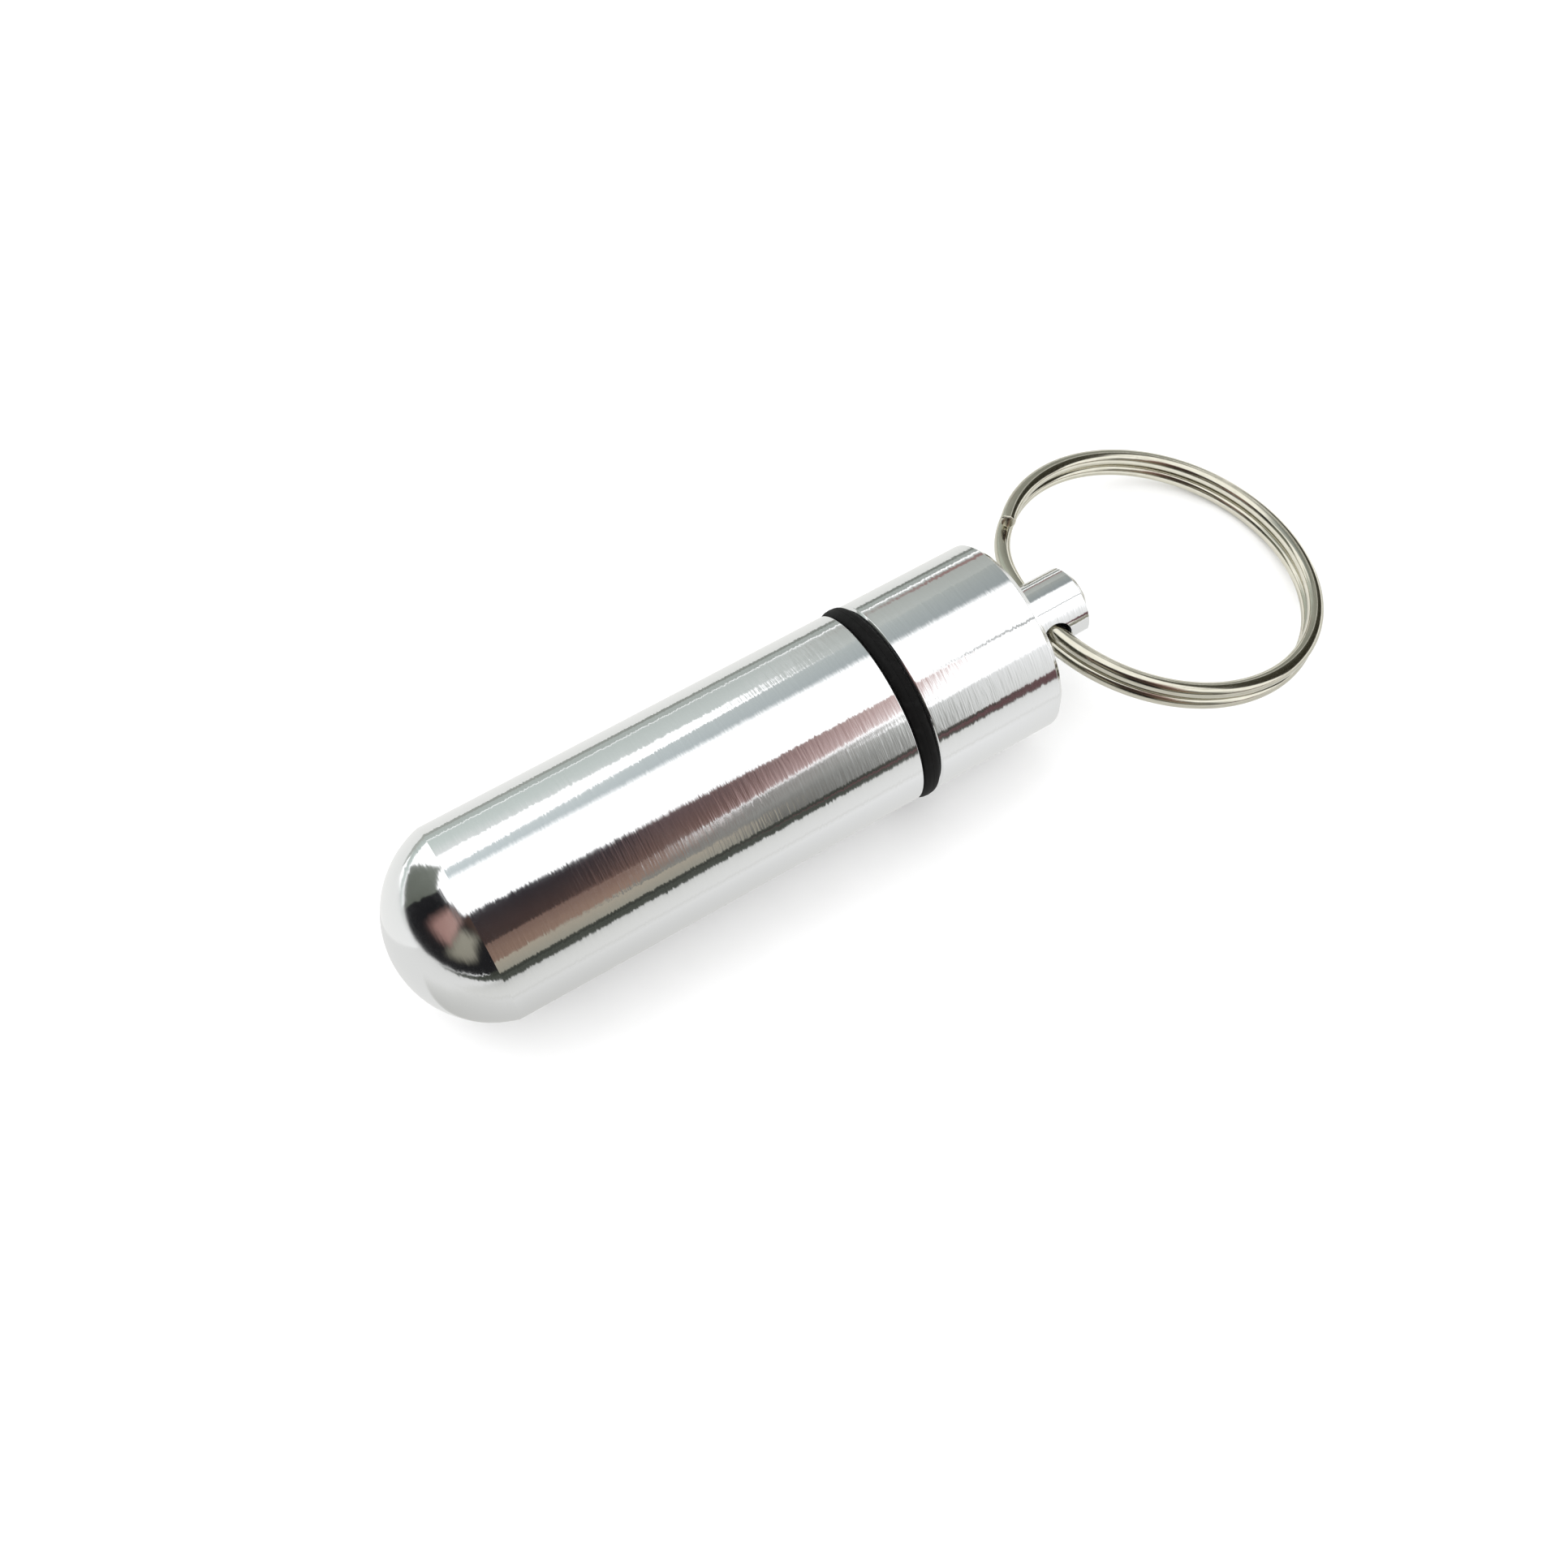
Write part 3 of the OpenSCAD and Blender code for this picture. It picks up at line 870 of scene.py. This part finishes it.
class FOB_OT_cap(bpy.types.Operator):
    """Turn the cap and its post, and drill the cross hole"""

    bl_idname = "fob.cap"
    bl_label = "Cap"
    bl_options = {"REGISTER", "UNDO"}

    def execute(self, context):
        pill, thread = context.scene.fob_pill, context.scene.fob_thread
        radius, edge = PILL_RADIUS, pill.edge_radius
        end = CAP_MOUTH + pill.cap_length
        cup_floor = end - pill.cap_floor
        floor_corner = 0.15 * MM
        thread_end = cup_floor - thread.run_out
        thread_start = CAP_MOUTH + pill.cap_mouth_bevel
        crest = pill.cap_bore - thread.depth
        # The first ridge is cut back along a cone that goes this deep into the mouth
        lead_in = 0.9 * MM

        def bore(x, turn):
            """The bore's radius with its thread, whose ridges stand where the neck has its grooves."""
            fade = smooth_share((thread_end - x) / thread.run_out)
            rise = (1 - thread_rise(x, turn, thread)) * fade
            return max(pill.cap_bore - thread.depth * rise, crest + lead_in - (x - CAP_MOUTH))

        inside = rounded(
            [
                (cup_floor, 0, 0),
                (cup_floor, pill.cap_bore, floor_corner),
                (thread_end, pill.cap_bore, 0),
            ]
        )
        mouth = rounded(
            [
                (thread_start, pill.cap_bore, 0),
                (CAP_MOUTH, pill.cap_bore + pill.cap_mouth_bevel, edge),
                (CAP_MOUTH, radius - pill.edge_bevel, edge),
                (CAP_MOUTH + pill.edge_bevel, radius, edge),
                (end - pill.cap_bevel, radius, edge),
                (end, radius - pill.cap_bevel, edge),
                (end, pill.post_radius, pill.post_fillet),
                (POST_END - pill.post_bevel, pill.post_radius, edge),
                (POST_END, pill.post_radius - pill.post_bevel, edge),
                (POST_END, 0, 0),
            ],
            steps=6,
        )
        rings = turned_rings(inside)
        rings += list(reversed(thread_rings(thread_start, thread_end, bore, thread)))
        rings += turned_rings(mouth)
        made = mesh_object("screw_cap", *skin(rings), turned_aluminium())
        self.drill(context, made, pill)
        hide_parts("cap")
        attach(made, "cap")
        return {"FINISHED"}

    def drill(self, context, cap, pill):
        """Cuts the cross hole. The cutter flares where it meets the post, which chamfers both mouths."""
        steps = 96  # round the hole
        chamfer = pill.hole_chamfer
        r = pill.hole_radius
        # The axis is level and square to the pill, then tipped about the pill's own axis
        along = Vector((0, cos(pill.hole_tip), -sin(pill.hole_tip)))
        upward = Vector((0, sin(pill.hole_tip), cos(pill.hole_tip)))
        centre = Vector(HOLE_PLACE)
        # How far each row of the cutter stands outside the post, and how much wider than the hole it is
        # there, both counted in chamfers
        rows = ((4.0, 4.0), (0.0, 0.62), (-0.62, 0.14), (-1.0, 0.0))
        rings = []
        for sign, order in ((1, rows), (-1, tuple(reversed(rows)))):
            for depth, flare in order:
                ring = []
                for k in range(steps + 1):
                    a = FULL_TURN * k / steps
                    surface = sqrt(pill.post_radius**2 - (r * sin(a)) ** 2)
                    out = r + flare * chamfer
                    place = centre + along * sign * (surface + depth * chamfer)
                    place += Vector((1, 0, 0)) * out * cos(a) + upward * out * sin(a)
                    ring.append(tuple(place))
                rings.append(ring)
        cutter = mesh_object("hole_cutter", *skin(rings, capped=True), cap.data.materials[0])
        cut = cap.modifiers.new("cross_hole", "BOOLEAN")
        cut.operation = "DIFFERENCE"
        cut.solver = "EXACT"
        cut.object = cutter
        before = len(cap.data.vertices)
        shape = cap.evaluated_get(context.evaluated_depsgraph_get())
        drilled = bpy.data.meshes.new_from_object(shape)
        cap.modifiers.remove(cut)
        cap.data = drilled
        cap.data.name = "screw_cap"
        cap.data.set_sharp_from_angle(angle=radians(SHARP_ANGLE))
        bpy.data.objects.remove(cutter)
        if len(drilled.vertices) == before:
            raise RuntimeError("the cross hole wasn't cut")


class FOB_OT_split_ring(bpy.types.Operator):
    """Wind the split ring from one flattened wire, through the cross hole"""

    bl_idname = "fob.split_ring"
    bl_label = "Split ring"
    bl_options = {"REGISTER", "UNDO"}

    WIRE_STEPS = 540  # sections along the wire
    SIDES = 40  # round each section

    def execute(self, context):
        ring = context.scene.fob_ring
        middle = (ring.diameter - ring.wire_width) / 2
        layer = ring.wire_height + ring.turn_gap
        start = pi + ring.first_end
        climb_start = FULL_TURN + pi - ring.second_end
        climb_end = FULL_TURN + pi
        end = climb_start + FULL_TURN

        def layer_height(a):
            """Height of the wire's middle, which steps up a layer on its way into the hole."""
            return layer * (smooth_share((a - climb_start) / (climb_end - climb_start)) - 0.5)

        def section(a, scale):
            """One section of the wire, an oval with flattened sides."""
            points = []
            for k in range(self.SIDES + 1):
                b = FULL_TURN * k / self.SIDES
                c, s = cos(b), sin(b)
                across = (1 if c > 0 else -1) * abs(c) ** (2 / ring.squareness)
                upward = (1 if s > 0 else -1) * abs(s) ** (2 / ring.squareness)
                r = middle + scale * ring.wire_width / 2 * across
                points.append(
                    Vector((r * cos(a), r * sin(a), layer_height(a) + scale * ring.wire_height / 2 * upward))
                )
            return points

        # Each end is cut square and its edge is rounded over end_round, where the section loses end_taper
        end_round = 0.12 * MM
        end_taper = 0.22
        end_steps = 5
        rounding = []
        for k in range(end_steps):
            a = pi / 2 * k / end_steps
            rounding.append((end_round / middle * cos(a), 1 - end_taper * (1 - sin(a))))
        sections = [(start - past, scale) for past, scale in rounding]
        for i in range(self.WIRE_STEPS + 1):
            sections.append((start + (end - start) * i / self.WIRE_STEPS, 1.0))
        sections += [(end + past, scale) for past, scale in reversed(rounding)]

        place = self.settled(ring, middle, layer_height, sections)
        loops = [[place(p) for p in section(a, scale)] for a, scale in sections]
        along = [a * middle / MM for a, _ in sections]
        made = mesh_object("key_split_ring", *skin(loops, capped=True), plated_spring_wire(), sharp_angle=50)
        self.map_wire(made, loops, along)
        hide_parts("split_ring")
        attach(made, "key_ring")
        return {"FINISHED"}

    def settled(self, ring, middle, layer_height, sections):
        """The ring's place: its two turns go through the hole and its far side rests on the floor."""
        pill = bpy.context.scene.fob_pill
        hole = Vector(HOLE_PLACE)
        # The pair of turns is set off from the hole's axis by half of what its curve and its lean ask for
        curve_shift = (middle - sqrt(middle**2 - pill.post_radius**2)) / 2
        lean_shift = pill.post_radius / 2 * sin(pill.hole_tip - ring.lean)
        through = Vector((curve_shift - middle, 0, -lean_shift))
        wire = [Vector((middle * cos(a), middle * sin(a), layer_height(a))) - through for a, _ in sections]

        def turned(q, tilt):
            """A point of the ring, tilted towards the floor about the hole and then leant sideways."""
            x = q.x * cos(tilt) + q.z * sin(tilt)
            z = q.z * cos(tilt) - q.x * sin(tilt)
            y = q.y * cos(ring.lean) + z * sin(ring.lean)
            return Vector((x, y, z * cos(ring.lean) - q.y * sin(ring.lean)))

        # Closes in on the tilt at which the lowest wire just clears the floor
        floor_gap = 0.03 * MM
        reach = ring.wire_height / 2 + floor_gap
        low, high = 0.0, radians(60)
        halvings = 24
        for _ in range(halvings):
            tilt = (low + high) / 2
            lowest = hole.z + min(turned(q, tilt).z for q in wire) - reach
            low, high = (tilt, high) if lowest > 0 else (low, tilt)
        return lambda p: tuple(turned(p - through, tilt) + hole)

    def map_wire(self, made, loops, along):
        """Gives the wire its own map in millimetres: along the wire, and round its section."""
        mesh = made.data
        layer = mesh.uv_layers.new(name="wire")
        halfway = loops[len(loops) // 2]
        perimeter = sum((Vector(b) - Vector(a)).length for a, b in zip(halfway, halfway[1:])) / MM
        nearest = KDTree(len(loops) * self.SIDES)
        for i, loop in enumerate(loops):
            for k, point in enumerate(loop[:-1]):
                nearest.insert(point, i * self.SIDES + k)
        nearest.balance()
        where = []
        for vertex in mesh.vertices:
            row, k = divmod(nearest.find(vertex.co)[1], self.SIDES)
            where.append((along[row], perimeter * k / self.SIDES))
        for face in mesh.polygons:
            places = [where[mesh.loops[index].vertex_index] for index in face.loop_indices]
            # A face that closes the section runs past its end, so that the map isn't folded back there
            wraps = max(v for _, v in places) - min(v for _, v in places) > perimeter / 2
            for index, (u, v) in zip(face.loop_indices, places):
                layer.data[index].uv = (u, v + perimeter if wraps and v < perimeter / 2 else v)


class FOB_PT_sidebar(bpy.types.Panel):
    """The fob's sizes, its finishes and the steps that build it"""

    bl_idname = "FOB_PT_sidebar"
    bl_label = "Pill Fob"
    bl_space_type = "VIEW_3D"
    bl_region_type = "UI"
    bl_category = "Pill Fob"

    def draw(self, context):
        for step in STEPS:
            self.layout.operator(step.bl_idname)
        for group in GROUPS:
            box = self.layout.box()
            settings = getattr(context.scene, group)
            box.label(text=GROUPS[group].__doc__)
            for name in GROUPS[group].__annotations__:
                box.prop(settings, name)


STEPS = (FOB_OT_stage, FOB_OT_case, FOB_OT_seal, FOB_OT_cap, FOB_OT_split_ring)
GROUPS = {
    "fob_pill": PillSizes,
    "fob_thread": ThreadSizes,
    "fob_seal": SealSizes,
    "fob_ring": RingSizes,
    "fob_colours": FinishColours,
    "fob_stage": StageSettings,
}


def register():
    for group in GROUPS.values():
        bpy.utils.register_class(group)
    for step in STEPS:
        bpy.utils.register_class(step)
    bpy.utils.register_class(FOB_PT_sidebar)
    for name, group in GROUPS.items():
        setattr(bpy.types.Scene, name, PointerProperty(type=group))


def unregister():
    for name in GROUPS:
        delattr(bpy.types.Scene, name)
    bpy.utils.unregister_class(FOB_PT_sidebar)
    for step in reversed(STEPS):
        bpy.utils.unregister_class(step)
    for group in reversed(GROUPS.values()):
        bpy.utils.unregister_class(group)


def main():
    register()
    bpy.ops.fob.stage()
    bpy.ops.fob.case()
    bpy.ops.fob.seal()
    bpy.ops.fob.cap()
    bpy.ops.fob.split_ring()


if __name__ == "__main__":
    main()
